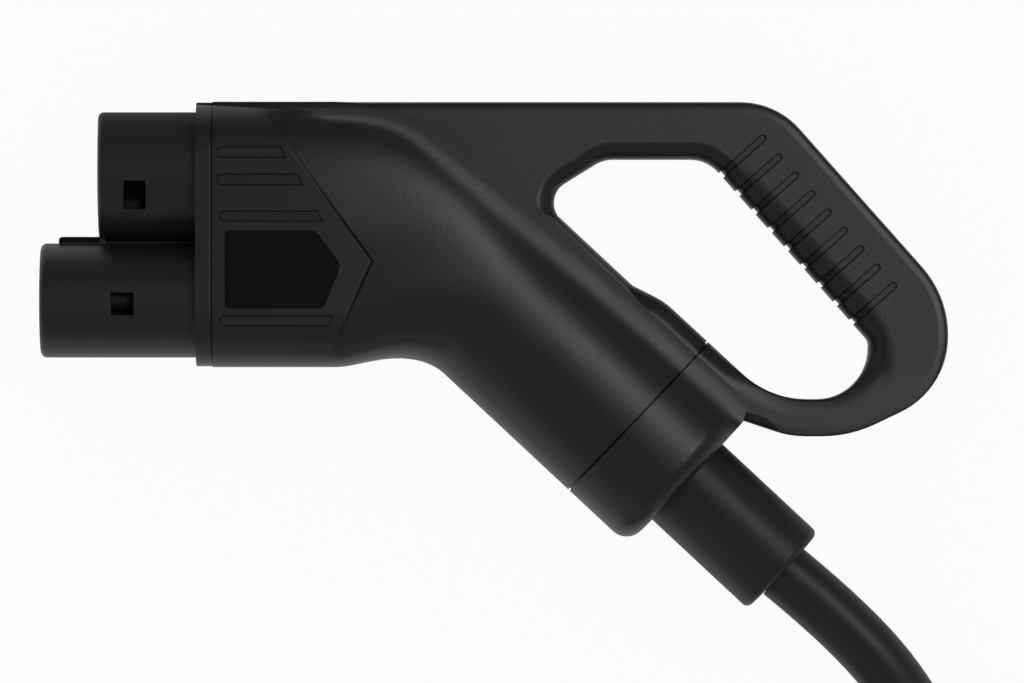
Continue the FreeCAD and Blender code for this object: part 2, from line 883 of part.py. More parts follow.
def lead_points():
    points = [EXIT]
    for heading, run, height in LEAD_RUNS:
        last, turn = points[-1], math.radians(heading)
        points.append(V(last.x + run * math.cos(turn), last.y - run * math.sin(turn), height))
    return points


LEAD = lead_points()
ENTRY_TURN = math.radians(size("coil_entry_angle"))
ENTRY = LEAD[-1] + V(math.sin(ENTRY_TURN), -math.cos(ENTRY_TURN), 0) * size("coil_stub")
COIL_CENTRE = ENTRY - V(math.cos(ENTRY_TURN), math.sin(ENTRY_TURN), 0) * size("coil_radius")


def coil_point(radius, degrees, height):
    turn = math.radians(degrees)
    return V(COIL_CENTRE.x + radius * math.cos(turn), COIL_CENTRE.y + radius * math.sin(turn), height)


UPPER = LOW + CABLE
CLIMB_START = size("coil_entry_angle") - 360 * size("coil_turns")
TAIL_START = CLIMB_START - 102.0


def tail_points():
    """The last turn on top of the coil, with even runs and turns, which ends in a straight run."""
    points = [coil_point(size("upper_turn_radius"), TAIL_START, UPPER)]
    for i in range(7):
        heading = math.radians(TAIL_START - 90 - size("tail_turn") * i)
        points.append(points[-1] + V(math.cos(heading), math.sin(heading), 0) * size("tail_run"))
    return points


TAIL = tail_points()
TAIL_END = TAIL[-1]
TAIL_WAY = (TAIL[-1] - TAIL[-2]).normalize()
TAIL_SIDE = V(-TAIL_WAY.y, TAIL_WAY.x, 0)


def ring_block(inner, outer, low, high, rounding):
    """A flat ring about the coil's centre, with its outer edges rounded."""
    corners = [(inner, high), (outer, high), (outer, low), (inner, low)]
    wire = rounded_outline([(x, y, rounding) for x, y in corners])
    wire.rotate(V(), V(1, 0, 0), 90)
    wire.translate(V(COIL_CENTRE.x, COIL_CENTRE.y, 0))
    return Part.Face(wire)


def coil_block():
    """The outer shape of the turns: a ring on the floor, the way in and the climb to the upper turn.

    The way in is slightly thinner than the ring, so that the two don't touch along a line.
    """
    half = CABLE / 2
    inner = size("coil_radius") - size("coil_pitch") * size("coil_turns") - half
    face = ring_block(inner, size("coil_radius") + half, FLOOR, FLOOR + CABLE, half * 0.8)
    ring = face.revolve(COIL_CENTRE, V(0, 0, 1), 360)
    stub = Part.makeCylinder(half - 0.6, size("coil_stub"), LEAD[-1], ENTRY - LEAD[-1])
    radius = size("upper_turn_radius")
    step = ring_block(radius - half, radius + half, UPPER - half - 1, UPPER + half, 1.0)
    step.rotate(COIL_CENTRE, V(0, 0, 1), TAIL_START)
    climb = step.revolve(COIL_CENTRE, V(0, 0, 1), CLIMB_START - TAIL_START)
    return ring.fuse([stub, climb])


def at_end(along, side=0.0, up=0.0):
    """A point past the cable's far end: along it, to its left and up."""
    return TAIL_END + TAIL_WAY * along + TAIL_SIDE * side + V(0, 0, up)


def far_turned(label, corners, along=0.0, side=0.0, up=0.0):
    """A turned piece beyond the cable's far end."""
    body = turned(label, corners)
    way = math.degrees(math.atan2(TAIL_WAY.y, TAIL_WAY.x))
    body.Placement = FreeCAD.Placement(at_end(along, side, up), FreeCAD.Rotation(V(0, 0, 1), way))
    return body


def lug(barrel_radius, core_radius, palm_width, palm_thickness, hole, along, side, up):
    """A tube lug: a barrel bored for its core, and a flat palm with its bolt hole."""
    barrel, palm = size("lug_length") * 0.55, size("lug_length") * 0.45
    at = at_end(along, side, up)
    solid = Part.makeCylinder(barrel_radius, barrel, at, TAIL_WAY)
    corner = V(barrel - 4, -palm_width / 2, -palm_thickness / 2)
    flat = Part.makeBox(palm + 4, palm_width, palm_thickness, corner)
    upright = [e for e in flat.Edges if e.BoundBox.ZLength > palm_thickness - 0.01]
    flat = flat.makeFillet(palm_width * 0.45, [e for e in upright if e.BoundBox.XMin > barrel + palm - 0.01])
    flat = flat.cut(Part.makeCylinder(hole / 2, 20, V(barrel + palm - palm_width / 2, 0, -10)))
    flat.rotate(V(), V(0, 0, 1), math.degrees(math.atan2(TAIL_WAY.y, TAIL_WAY.x)))
    flat.translate(at)
    bore = Part.makeCylinder(core_radius, barrel - 6, at, TAIL_WAY)
    return solid.fuse(flat).cut(bore)


# The cable's front end inside the body, and where each core leaves it (across the tube, sideways)

CORE_SPOTS = {
    "dc_plus_lead": (-3.0, 5.5),
    "dc_minus_lead": (-3.0, -5.5),
    "earth_lead": (6.5, 0.0),
    "pilot_lead": (5.8, 6.4),
    "proximity_lead": (5.8, -6.4),
}


def stub_point(across, side, back=0.0):
    point = on_axis(INNER_FRONT - back, across - size("sleeve_offset"))
    return V(point.x, point.y, side)


def inner_leads():
    """The cores from the cable's front end to the contacts' barrels."""
    barrel = FLANGE_REAR + size("retainer_thickness") + size("barrel_length")
    power = size("power_core")
    for name, spot in zip(("dc_plus_lead", "dc_minus_lead"), POWER_PLACES):
        across, side = CORE_SPOTS[name]
        start = V(barrel - 12, *spot)
        meet = stub_point(across, side, 62)
        end = stub_point(across, side, 0.3)
        points = [start, V(barrel + 16, start.y, start.z), V(meet.x, start.y, side), end]
        keep(name, smooth_tube(points, power, name))
    across, side = CORE_SPOTS["earth_lead"]
    start = V(barrel - 12, *EARTH_PLACE)
    points = [start, V(62, 0, 0), stub_point(across, side, 66), stub_point(across, side)]
    keep("earth_lead", smooth_tube(points, size("earth_core"), "earth_lead"))
    for name, spot in zip(("pilot_lead", "proximity_lead"), PILOT_PLACES):
        across, side = CORE_SPOTS[name]
        start = V(barrel - 12, *spot)
        points = [start, V(60, spot[0], spot[1]), stub_point(across, side, 60), stub_point(across, side)]
        keep(name, smooth_tube(points, size("signal_core"), name))


def cable_clamp(upper):
    """Half of the cord grip round the cable, with its screw holes."""
    length, gap = size("clamp_length"), size("fit_gap")
    front, centre = CLAMP_FRONT, -size("sleeve_offset")
    block = Part.makeBox(length, 50, 20, V(front, centre - 25, gap / 2))
    block = block.makeFillet(3, [e for e in block.Edges if e.BoundBox.ZMin > 19])
    if not upper:
        block = block.mirror(V(), V(0, 0, 1))
    solid = block.cut(Part.makeCylinder((CABLE + gap) / 2, 60, V(front - 12, centre, 0), V(1, 0, 0)))
    for side in (-1, 1):
        spot = V(front + length / 2, centre + side * 19, -30)
        solid = solid.cut(Part.makeCylinder(1.7, 60, spot))
    solid.rotate(V(), V(0, 0, 1), -size("bend_angle"))
    solid.translate(BEND_END)
    return solid


def far_end():
    """The breakout boot, the cores beyond it and their lugs."""
    boot, free, spread = size("boot_length"), size("core_free"), size("lug_spread") / 2
    far_turned(
        "breakout_boot",
        [
            ("0", "0"),
            ("0", "cable_diameter / 2"),
            ("boot_length * 0.55", "cable_diameter / 2"),
            ("boot_length", "cable_diameter / 2 - 1.5"),
            ("boot_length", "0"),
        ],
    )
    cores = {
        "dc_plus_tail": (size("power_core"), 4.8, spread, -5.0, -5.0),
        "dc_minus_tail": (size("power_core"), -4.8, -spread, -5.0, -5.0),
        "earth_tail": (size("earth_core"), 0.0, 0.0, 4.0, 5.5),
    }
    for name, (core, near, far, low, high) in cores.items():
        points = [
            at_end(boot, near, low),
            at_end(boot + 9, near, low),
            at_end(boot + free - 6, far, high),
            at_end(boot + free + 14, far, high),
        ]
        keep(name, smooth_tube(points, core, name))
    signals = []
    for side in (-8.5, 8.5):
        wire = Part.makeCylinder(size("signal_core") / 2, 34, at_end(boot, side, 4.5), TAIL_WAY)
        ferrule = Part.makeCylinder(size("signal_core") / 2 + 0.4, 12, at_end(boot + 34, side, 4.5), TAIL_WAY)
        signals += [wire, ferrule]
    keep("signal_tails", Part.makeCompound(signals))
    gap = size("fit_gap")
    power_bore, earth_bore = size("power_core") / 2 + gap, size("earth_core") / 2 + gap
    for name, side in (("dc_plus_lug", spread), ("dc_minus_lug", -spread)):
        keep(name, lug(7.0, power_bore, 16.0, 4.0, size("lug_hole"), boot + free, side, -5.0))
    keep("earth_lug", lug(4.4, earth_bore, 11.0, 2.6, size("earth_lug_hole"), boot + free, 0.0, 5.5))


def fasteners():
    """The screws of the housing, of the retainer and of the clamp, each kind in one node."""
    up = FreeCAD.Rotation(V(0, 1, 0), -90)
    back = FreeCAD.Rotation(V(0, 0, 1), 180)
    down = FreeCAD.Rotation(V(0, 1, 0), 90)
    head = ("screw_head_radius", "screw_head_height")
    housing = []
    for seat in sorted({seat for x, y, seat in SCREW_PLACES}):
        reach = f"{seat} + screw_reach"
        first = screw_body(f"housing_screw_{seat:.0f}", *head, "screw_radius", reach, V(), up)
        doc.recompute()
        for x, y, depth in SCREW_PLACES:
            if depth == seat:
                copy = first.Shape.copy()
                copy.Placement = FreeCAD.Placement(V(x, y, -seat), up)
                housing.append(copy)
    keep("housing_screws", Part.makeCompound(housing))
    rear = FLANGE_REAR + size("retainer_thickness")
    small, reach = ("screw_head_radius - 0.2", "2"), "retainer_thickness + 3"
    first = screw_body("retainer_screw", *small, "screw_radius", reach, V(), back)
    screw_group("retainer_screws", first, [V(rear, *spot) for spot in RETAINER_SCREWS])
    first = screw_body("clamp_screw", *head, "screw_radius", "36", V(), down)
    middle, top = CLAMP_FRONT + size("clamp_length") / 2, 20 + size("fit_gap") / 2
    spots = [on_axis(middle, side - size("sleeve_offset")) + V(0, 0, top) for side in (-19, 19)]
    screw_group("clamp_screws", first, spots)


def sleeve_and_seals():
    """The strain-relief sleeve, the ring that holds it, the seal and the jacketed cable inside them."""
    offset, flange = -size("sleeve_offset"), size("sleeve_flange")
    turned(
        "cable_sleeve",
        [
            ("0", "cable_diameter / 2 + fit_gap"),
            ("0", "sleeve_diameter / 2 + 3.8"),
            ("sleeve_flange", "sleeve_diameter / 2 + 3.8"),
            ("sleeve_flange", "sleeve_diameter / 2"),
            ("sleeve_flange + wall + sleeve_length", "sleeve_diameter / 2"),
            ("sleeve_flange + wall + sleeve_length", "cable_diameter / 2 + fit_gap"),
        ],
        on_axis(REAR_WALL - flange, offset),
        True,
        ("sleeve_flange + wall + sleeve_length", "sleeve_diameter / 2", "sleeve_round"),
    )
    turned(
        "sleeve_ring",
        [("0", "sleeve_diameter / 2 - 3"), ("0", "sleeve_diameter / 2 + 5"),
         ("sleeve_flange", "sleeve_diameter / 2 + 5"), ("sleeve_flange", "sleeve_diameter / 2 - 3")],
        on_axis(REAR_WALL - 2 * flange, offset),
        True,
    )
    turned(
        "cable_seal",
        [("0", "cable_diameter / 2 + fit_gap / 2"), ("0", "cable_diameter / 2 + 7"),
         ("seal_length", "cable_diameter / 2 + 4.8"), ("seal_length", "cable_diameter / 2 + fit_gap / 2")],
        on_axis(SEAL_FRONT, offset),
        True,
    )
    length = size("rear_length") + size("sleeve_length") - INNER_FRONT
    turned(
        "inner_cable",
        [("0", "0"), ("0", "cable_diameter / 2"), (str(length), "cable_diameter / 2"), (str(length), "0")],
        on_axis(INNER_FRONT, offset),
        True,
    )


def build():
    shell = plain_shell()
    keep("left_shell", left_shell(shell))
    keep("right_shell", right_shell(shell))
    low = size("panel_half_width") - size("groove_depth")
    keep("label_plate", prism(label_outline(0.15), low, low + 0.9))
    keep("front_collar", front_collar())
    keep("nose_shell", nose_shell())
    keep("face_gasket", face_gasket())
    keep("signal_carrier", signal_carrier())
    keep("power_carrier", power_carrier())
    keep("contact_retainer", retainer())
    for label, spot in zip(("dc_plus_contact", "dc_minus_contact"), POWER_PLACES):
        contact(label, "power_length", "power_pin", spot)
    contact("earth_contact", "signal_length", "earth_pin", EARTH_PLACE)
    for label, spot in zip(("pilot_contact", "proximity_contact"), PILOT_PLACES):
        contact(label, "signal_length", "pilot_pin", spot)
    rear = FLANGE_REAR + size("retainer_thickness")
    board = [("-45", "-18"), ("-43.4", "-18"), ("-43.4", "18"), ("-45", "18")]
    padded("sensor_board", lambda sketch: draw_polygon(sketch, board), "20", at=V(rear, 0, 0))
    inner_leads()
    keep("cable_clamp_upper", cable_clamp(True))
    keep("cable_clamp_lower", cable_clamp(False))
    sleeve_and_seals()
    fasteners()
    keep("cable_lead", smooth_tube(LEAD, CABLE, "cable_lead"))
    keep("cable_coil", coil_block())
    keep("cable_tail", smooth_tube(TAIL, CABLE, "cable_tail"))
    far_end()


def check_and_write():
    """Stop on any failed object, then write each sub-part to its own file."""
    doc.recompute()
    for item in doc.Objects:
        if {"Invalid", "Error"} & set(item.State):
            raise ValueError(f"{item.Label} failed: {item.State}")
    os.makedirs("parts", exist_ok=True)
    for piece in PARTS:
        shape = piece.Shape
        if shape.isNull() or not shape.isValid() or not shape.Solids:
            raise ValueError(f"{piece.Label} has no valid solid")
        print(f"{piece.Label}: {len(shape.Solids)} solids, {shape.Volume:.0f} cubic millimetres")
        shape.exportStep(f"parts/{piece.Label}.step")


build()
check_and_write()
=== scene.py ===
"""Looks of a charging connector with a loop handle, its cable and the studio around it."""

import json
import math

import bpy
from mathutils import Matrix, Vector


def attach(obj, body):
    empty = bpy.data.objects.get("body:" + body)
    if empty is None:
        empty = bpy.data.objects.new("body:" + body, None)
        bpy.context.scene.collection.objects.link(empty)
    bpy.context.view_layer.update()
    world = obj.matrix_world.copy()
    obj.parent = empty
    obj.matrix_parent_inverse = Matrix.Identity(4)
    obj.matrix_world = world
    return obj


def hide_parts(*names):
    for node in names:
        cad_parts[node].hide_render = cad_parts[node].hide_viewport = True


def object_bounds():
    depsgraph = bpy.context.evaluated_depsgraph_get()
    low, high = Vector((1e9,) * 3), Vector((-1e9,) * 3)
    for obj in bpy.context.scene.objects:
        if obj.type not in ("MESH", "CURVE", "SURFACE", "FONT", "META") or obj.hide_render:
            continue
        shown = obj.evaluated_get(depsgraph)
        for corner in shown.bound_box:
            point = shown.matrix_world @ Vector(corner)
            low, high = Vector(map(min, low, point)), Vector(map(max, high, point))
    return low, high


bl_info = {
    "name": "Charging Cable",
    "version": (1, 0, 0),
    "blender": (4, 2, 0),
    "location": "3D View > Sidebar > Charging Cable",
    "description": "Finishes, cable and studio for a direct-current charging connector",
    "category": "Object",
}

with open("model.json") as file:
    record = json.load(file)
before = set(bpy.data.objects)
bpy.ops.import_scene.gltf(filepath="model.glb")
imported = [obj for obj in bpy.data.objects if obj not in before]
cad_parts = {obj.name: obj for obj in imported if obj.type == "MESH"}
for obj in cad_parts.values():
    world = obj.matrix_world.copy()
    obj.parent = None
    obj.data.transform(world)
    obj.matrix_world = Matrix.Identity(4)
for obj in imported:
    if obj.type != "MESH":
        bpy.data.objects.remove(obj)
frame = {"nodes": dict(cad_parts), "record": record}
NODES = frame["nodes"]
CAD_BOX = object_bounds()

# Route of the cable in metres: out of the sleeve, round the coil and up onto it

LEAD = [
    (0.25150, -0.17222, 0.0),
    (0.28300, -0.19800, 0.0),
    (0.31050, -0.23350, -0.007),
    (0.32568, -0.27002, -0.018),
    (0.33725, -0.31039, -0.025),
    (0.34143, -0.35017, -0.025),
]
TAIL = [
    (0.18046, -0.62254, 0.001),
    (0.12925, -0.63157, 0.001),
    (0.07804, -0.62254, 0.001),
    (0.03301, -0.59654, 0.001),
    (-0.00042, -0.55670, 0.001),
    (-0.01820, -0.50784, 0.001),
    (-0.01820, -0.45584, 0.001),
]
COIL_CENTRE = (0.15550, -0.47529)
COIL_LOW = -0.025
COIL_HIGH = 0.001
ENTRY_ANGLE = 6.0
CLIMB_ANGLE = -1038.0
TOP_ANGLE = -1140.0
FIRST_HOLD = 0.12
LAST_TUCK = 0.005
LAST_TUCK_TURNS = 0.6
CLIMB_WIDEN = 0.0221
CLIMB_PACE = 1.35


# Sizes and colours that a user would change

class CableSettings(bpy.types.PropertyGroup):
    diameter: bpy.props.FloatProperty(
        name="Diameter", description="Outside diameter of the cable's jacket",
        default=0.026, unit="LENGTH", subtype="DISTANCE")
    radius: bpy.props.FloatProperty(
        name="Coil radius", description="Centreline radius of the coil's outer turn",
        default=0.198, unit="LENGTH", subtype="DISTANCE")
    pitch: bpy.props.FloatProperty(
        name="Coil pitch", description="How far each turn lies inside the last one",
        default=0.027, unit="LENGTH", subtype="DISTANCE")
    vertices: bpy.props.IntProperty(
        name="Points", description="Control points over the whole coil", default=76, min=36)


class FinishSettings(bpy.types.PropertyGroup):
    housing: bpy.props.FloatVectorProperty(
        name="Housing", description="Colour of the moulded housing",
        default=(0.0085, 0.0085, 0.0087), subtype="COLOR")
    nose: bpy.props.FloatVectorProperty(
        name="Mating face", description="Colour of the moulded shrouds",
        default=(0.0090, 0.0090, 0.0092), subtype="COLOR")
    cable: bpy.props.FloatVectorProperty(
        name="Cable", description="Colour of the cable's jacket",
        default=(0.0095, 0.0095, 0.0097), subtype="COLOR")
    grain: bpy.props.FloatProperty(
        name="Grain", description="Depth of the moulded grain",
        default=0.00005, unit="LENGTH", subtype="DISTANCE")


class StudioSettings(bpy.types.PropertyGroup):
    distance: bpy.props.FloatProperty(
        name="Camera distance", description="Height of the camera over the parting plane",
        default=5.0, unit="LENGTH", subtype="DISTANCE")
    lens: bpy.props.FloatProperty(
        name="Lens", description="Focal length of the camera in millimetres", default=408.9)
    key: bpy.props.FloatProperty(
        name="Key", description="Brightness of the large soft light", default=1.0, min=0.0)


# Shader maths

class Value:
    """A socket that carries a number, with Python's operators."""

    def __init__(self, shader, socket):
        self.shader = shader
        self.socket = socket

    def math(self, operation, *others):
        return self.shader.node("ShaderNodeMath", {"operation": operation}, [self, *others])

    def __add__(self, other):
        return self.math("ADD", other)

    __radd__ = __add__

    def __mul__(self, other):
        return self.math("MULTIPLY", other)

    __rmul__ = __mul__

    def __sub__(self, other):
        return self.math("SUBTRACT", other)

    def __rsub__(self, other):
        return self.shader.node("ShaderNodeMath", {"operation": "SUBTRACT"}, [other, self])

    def __truediv__(self, other):
        return self.math("DIVIDE", other)

    def __rtruediv__(self, other):
        return self.shader.node("ShaderNodeMath", {"operation": "DIVIDE"}, [other, self])

    def __pow__(self, other):
        return self.math("POWER", other)

    def __abs__(self):
        return self.math("ABSOLUTE")

    def lowest(self, other):
        return self.math("MINIMUM", other)

    def highest(self, other):
        return self.math("MAXIMUM", other)

    def ramp(self, low, high):
        """0 at low and 1 at high, smooth between them."""
        settings = {"interpolation_type": "SMOOTHSTEP", "clamp": True}
        return self.shader.node("ShaderNodeMapRange", settings, {0: self, 1: low, 2: high}, 0)


class Shader:
    """A material or a world under construction."""

    def __init__(self, owner):
        owner.use_nodes = True
        self.owner = owner
        self.tree = owner.node_tree
        self.tree.nodes.clear()
        self.place = None

    def node(self, kind, settings=None, inputs=(), output=0):
        """Add a node: its settings first, then the values or links of its inputs."""
        made = self.tree.nodes.new(kind)
        for name, value in (settings or {}).items():
            setattr(made, name, value)
        pairs = inputs.items() if isinstance(inputs, dict) else enumerate(inputs)
        for key, value in pairs:
            if isinstance(value, Value):
                self.tree.links.new(value.socket, made.inputs[key])
            else:
                made.inputs[key].default_value = value
        return Value(self, made.outputs[output])

    def position(self):
        """The place on the piece, in metres of the row's frame."""
        if self.place is None:
            self.place = self.node("ShaderNodeTexCoord", output="Object")
        return self.place

    def axes(self):
        split = self.node("ShaderNodeSeparateXYZ", inputs=[self.position()])
        outputs = split.socket.node.outputs
        return [Value(self, outputs[i]) for i in range(3)]

    def noise(self, scale, detail=2.0, roughness=0.5):
        inputs = {"Vector": self.position(), "Scale": scale, "Detail": detail, "Roughness": roughness}
        return self.node("ShaderNodeTexNoise", {"noise_dimensions": "3D"}, inputs)

    def mix(self, factor, first, second):
        settings = {"data_type": "RGBA", "blend_type": "MIX"}
        return self.node("ShaderNodeMix", settings, {0: factor, 6: first, 7: second}, 2)

    def bump(self, height, strength, distance, normal=None):
        inputs = {"Height": height, "Strength": strength, "Distance": distance}
        if normal is not None:
            inputs["Normal"] = normal
        return self.node("ShaderNodeBump", inputs=inputs)

    def surface(self):
        return self.node("ShaderNodeNewGeometry", output="Normal")

    def vector(self, operation, inputs):
        return self.node("ShaderNodeVectorMath", {"operation": operation}, inputs)

    def unit(self, vector):
        return self.vector("NORMALIZE", [vector])

    def leant(self, normal, share, lean):
        """A normal leant by a vector where the share is 1, as a mould's draft leans it."""
        part = self.vector("SCALE", {0: lean, "Scale": share})
        return self.unit(self.vector("ADD", [normal, part]))

    def turned(self, normal, share, x, y):
        """A normal turned where the share is 1 to one that rises by x and y from Z, as a fillet's does."""
        target = self.unit(self.node("ShaderNodeCombineXYZ", inputs=[x, y, 1.0]))
        settings = {"data_type": "VECTOR"}
        return self.unit(self.node("ShaderNodeMix", settings, {0: share, 4: normal, 5: target}, 1))

    def finish(self, shader):
        output = self.tree.nodes.new("ShaderNodeOutputMaterial")
        self.tree.links.new(shader.socket, output.inputs["Surface"])
        return self.owner


def rgba(colour):
    return (*colour, 1.0)


def plain(name, colour, roughness, metallic=0.0, specular=0.5):
    """An even finish."""
    shader = Shader(bpy.data.materials.new(name))
    inputs = {
        "Base Color": rgba(colour),
        "Roughness": roughness,
        "Metallic": metallic,
        "Specular IOR Level": specular,
    }
    return shader.finish(shader.node("ShaderNodeBsdfPrincipled", inputs=inputs))


# Colour of the painted shade lines in grooves, recesses and along joints
SHADE_LINE = (0.002, 0.002, 0.002)
GRAIN_SCALE = 1050.0
GRAIN_STRENGTH = 0.8
GRAIN_TINT = 1.35
SHEEN_SCALE = 22.0
SHEEN_SPREAD = 0.08


def moulded(name, colour, roughness, grain, details=None):
    """Satin moulded plastic with a fine grain and slight unevenness in its sheen.

    details takes the shader and returns where painted shade lies, from 0 to 1, its height in metres and its
    normal, each of them None where the piece has no such detail. Where painted shade lies, the colour darkens
    towards the shade-line colour and the surface turns metallic, so that it loses its sheen there too.
    """
    shader = Shader(bpy.data.materials.new(name))
    fine = shader.noise(GRAIN_SCALE, 3.0, 0.6)
    broad = shader.noise(SHEEN_SCALE)
    tint = shader.mix(fine * 0.5, rgba(colour), rgba([c * GRAIN_TINT for c in colour]))
    inputs = {"Roughness": roughness - SHEEN_SPREAD / 2 + broad * SHEEN_SPREAD}
    painted_shade, height, normal = details(shader) if details else (None, None, None)
    # Painted shade: the colour darkens and the surface turns metallic, which takes its sheen away
    if painted_shade is not None:
        tint = shader.mix(painted_shade, tint, rgba(SHADE_LINE))
        inputs["Metallic"] = painted_shade
    if height is not None:
        normal = shader.bump(height, 1.0, 1.0, normal)
    inputs["Base Color"] = tint
    inputs["Normal"] = shader.bump(fine, GRAIN_STRENGTH, grain, normal)
    return shader.finish(shader.node("ShaderNodeBsdfPrincipled", inputs=inputs))


# Distances in metres on the front of the connector, seen along Z

def run_distance(x, y, first, second):
    """Distance from the straight run between two points."""
    (ax, ay), (bx, by) = first, second
    length = math.hypot(bx - ax, by - ay)
    ux, uy = (bx - ax) / length, (by - ay) / length
    along = (x - ax) * ux + (y - ay) * uy
    over = (along - length).highest(0.0 - along).highest(0.0)
    across = (x - ax) * -uy + (y - ay) * ux
    return (across * across + over * over) ** 0.5


def path_distance(x, y, points):
    """Distance from a path of straight runs."""
    near = None
    for first, second in zip(points, points[1:]):
        distance = run_distance(x, y, first, second)
        near = distance if near is None else near.lowest(distance)
    return near


def side_distance(x, y, points, closed=True, rounding=0.0):
    """Signed distance from a convex outline that runs clockwise, less than 0 inside it."""
    far = None
    ends = points[1:] + points[:1] if closed else points[1:]
    for (ax, ay), (bx, by) in zip(points, ends):
        length = math.hypot(bx - ax, by - ay)
        distance = (x - ax) * ((ay - by) / length) + (y - ay) * ((bx - ax) / length)
        far = distance if far is None else far.math("SMOOTH_MAX", distance, rounding)
    return far


def line(distance, width, soft=0.00025):
    """1 on a line of a width, falling off at its sides."""
    return 1.0 - abs(distance).ramp(width / 2, width / 2 + soft)


# Places on the housing in metres: the fold behind the panel, the shelf's edge, the loop and the details

FOLD = [(0.0312, 0.0219), (0.0565, -0.0133), (0.0755, -0.0393), (0.0600, -0.0732)]
SHELF = [(0.0000, 0.0275), (0.0875, 0.0224), (0.1540, -0.0262), (0.2328, -0.0972)]
LOOP_MIDDLE = [
    (0.0500, 0.0170), (0.2445, 0.0170), (0.3055, -0.0520),
    (0.3055, -0.0850), (0.2800, -0.1065), (0.2100, -0.1065),
]
OPENING = [
    (0.1745, 0.0045), (0.2189, 0.0045), (0.2883, -0.0736),
    (0.2883, -0.0985), (0.2460, -0.0985), (0.1468, -0.0126),
]
OPENING_MIDDLE = (0.2350, -0.0450, 0.0)
LEDGE_RIB = (-0.0590, -0.0312, -0.0419, -0.0283)
WINDOWS = [(-0.0320, -0.0162, -0.0228, -0.0042), (-0.0381, -0.0620, -0.0283, -0.0522)]
WALL_INSIDE = 0.0235
SEAM = [(0.2205, -0.0734), (0.1583, -0.1382)]
BARS = [
    (0.0094, 0.0047, 0.0092, 0.0366, 0.0387),
    (-0.0023, -0.0069, 0.0092, 0.0439, 0.0460),
    (-0.0181, -0.0224, 0.0104, 0.0522, 0.0545),
    (-0.0628, -0.0669, 0.0104, 0.0587, 0.0564),
]
PANEL = [(-0.05, 0.05), (0.0108, 0.05), (0.0755, -0.0393), (0.0443, -0.1075), (-0.05, -0.1075)]
LABEL = [(0.0129, -0.0264), (0.0512, -0.0264), (0.0619, -0.0411), (0.0547, -0.0593), (0.0129, -0.0593)]
LABEL_ROUNDING = 0.003
COLLAR_GAP = 0.0069
COLLAR_EDGE = 0.0062
GRIP_SLOPE = 48.4
GRIP_START = (0.2436, 0.0142)
GRIP_PITCH = 0.01055
GRIP_COUNT = 9
GRIP_HALF = 0.0014
GRIP_LENGTH = 0.030

# Where each change of shade starts and ends

FRONT_Z = (0.004, 0.006)
FOLD_RISE = (0.0, 0.0009)
FOLD_HEIGHT = 0.00006
TIP_TOP = (-0.030, 0.012)
TIP_BOTTOM = (-0.075, -0.045)
PANEL_EDGE = (-0.0004, 0.0004)
PANEL_FADE = (0.010, 0.075)
BEHIND_X = (0.075, 0.120)
BEHIND_Y = (-0.040, -0.018)
SHELF_BLEND = 0.012
SHELF_WIDEN = (0.05, 0.165)
SHELF_FLANK = (0.0050, 0.0165)
SHELF_START = (0.02, 0.06)
SHELF_Z = (0.0159, 0.0160)
RIDGE = (-0.001, 0.006)
TOP_EDGE = (0.0243, 0.0283)
LOOP_SIDE = (-0.001, 0.0)
RIM_START = (0.0, 0.001)
RIM_Z = (0.0125, 0.0150)
LOW_X = (0.215, 0.235)
LOW_Y = (-0.096, -0.078)
LOW_Z = (0.0080, 0.0125)
OPENING_ROUNDING = 0.016
HOLLOW_START = (0.0025, 0.0062)
HOLLOW_END = (0.0060, 0.0130)
HOLLOW_X = (0.225, 0.245)

# How much a normal leans: X and Y for each unit of Z

DRAFT = (-0.08, 0.0, 0.0)
HOSE_LEAN = (-0.13, -0.14, 0.0)
COLLAR_LEAN = (0.11, 0.0, 0.0)
RIDGE_RISE = 0.12
TOP_EDGE_RISE = 1.2
LOW_LEAN = 0.02
HOLLOW_LEAN = 0.24


def bar_distance(x, y, top, bottom, front, rear_top, rear_bottom):
    """Signed distance from a recessed bar with a round front end and a slanted rear end."""
    half = (top - bottom) / 2
    middle = (top + bottom) / 2
    over = ((x - (front + half)) * -1.0).highest(0.0)
    round_part = (over * over + (y - middle) ** 2) ** 0.5 - half
    length = math.hypot(rear_bottom - rear_top, top - bottom)
    slant = (x - rear_top) * ((top - bottom) / length) + (y - top) * ((rear_bottom - rear_top) / length)
    return round_part.highest(slant)


def rib_distance(x, y):
    """Signed distance from the nearest of the grip's grooves, and how far out from the opening a place is."""
    slope = math.radians(GRIP_SLOPE)
    cos, sin = math.cos(slope), math.sin(slope)
    along = (x - GRIP_START[0]) * cos - (y - GRIP_START[1]) * sin
    out = (x - GRIP_START[0]) * sin + (y - GRIP_START[1]) * cos
    turn = (along / GRIP_PITCH).math("ROUND").highest(0.0).lowest(GRIP_COUNT - 1.0)
    across = along - turn * GRIP_PITCH
    past = (out + GRIP_HALF).highest(0.0)
    return (across * across + past * past) ** 0.5 - GRIP_HALF, out


def housing_shade_lines(x, y, fold):
    """Painted shade lines around the bars, the label and the grooves, and along the seam, fold and collar
    joint.
    """
    bar_edge = None
    for bar in BARS:
        distance = abs(bar_distance(x, y, *bar))
        bar_edge = distance if bar_edge is None else bar_edge.lowest(distance)
    ribs, out = rib_distance(x, y)
    on_grip = out.ramp(-GRIP_LENGTH, -GRIP_LENGTH + 0.001)
    tip = (1.0 - y.ramp(*TIP_TOP)) * y.ramp(*TIP_BOTTOM)
    painted_shade = line(bar_edge, 0.0003) * 0.55
    for other in (
        line(side_distance(x, y, LABEL, rounding=LABEL_ROUNDING), 0.0004) * 0.6,
        line(run_distance(x, y, *SEAM), 0.0005) * 0.85,
        line(ribs, 0.0004) * on_grip * 0.7,
        line(fold - 0.0003, 0.0003) * tip * 0.85,
        line(x - COLLAR_GAP, 0.0004) * 0.7,
    ):
        painted_shade = painted_shade.highest(other)
    return painted_shade


